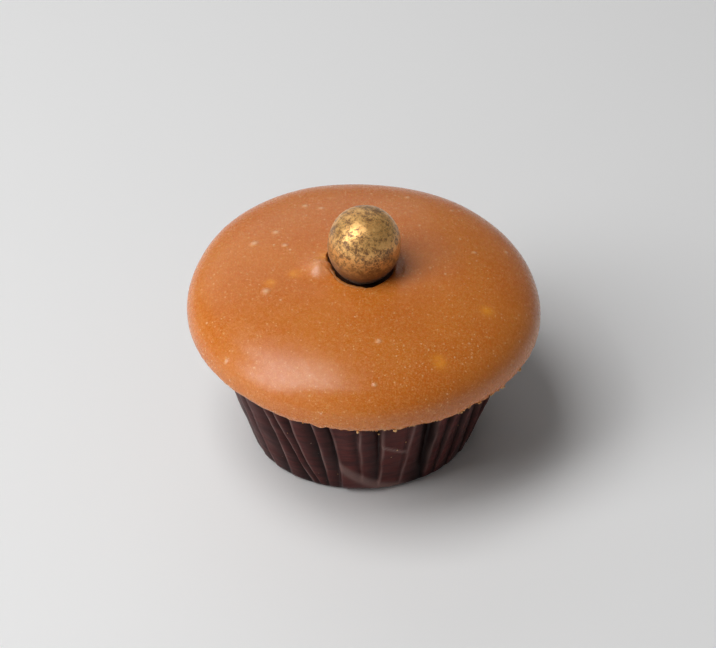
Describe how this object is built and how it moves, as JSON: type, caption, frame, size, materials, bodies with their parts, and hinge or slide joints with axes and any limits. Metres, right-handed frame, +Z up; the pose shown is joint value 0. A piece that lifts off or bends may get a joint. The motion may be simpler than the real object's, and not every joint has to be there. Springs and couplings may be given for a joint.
{
  "type": "cupcake",
  "caption": "Coffee cupcake: domed cap of satin coffee icing with a gold-dusted chocolate ball pressed into its crown, on sponge baked in a dark brown pleated paper case.",
  "frame": {"origin": "on the table under the middle of the cake: the centre of the bounding box at its lowest height", "axes": "+Z up through the chocolate ball, -Y towards the front of the cake, +X to its right"},
  "size_m": [0.0779, 0.0781, 0.0581],
  "materials": {
    "paper_case": "glazed baking paper, dark brown",
    "sponge": "baked sponge crumb, matte",
    "icing": "set coffee icing, satin",
    "chocolate_ball": "milk chocolate rubbed with gold lustre dust"
  },
  "bodies": {
    "root": {"paper_case": "paper_case", "sponge": "sponge", "icing": "icing", "chocolate_ball": "chocolate_ball"}
  },
  "joints": []
}
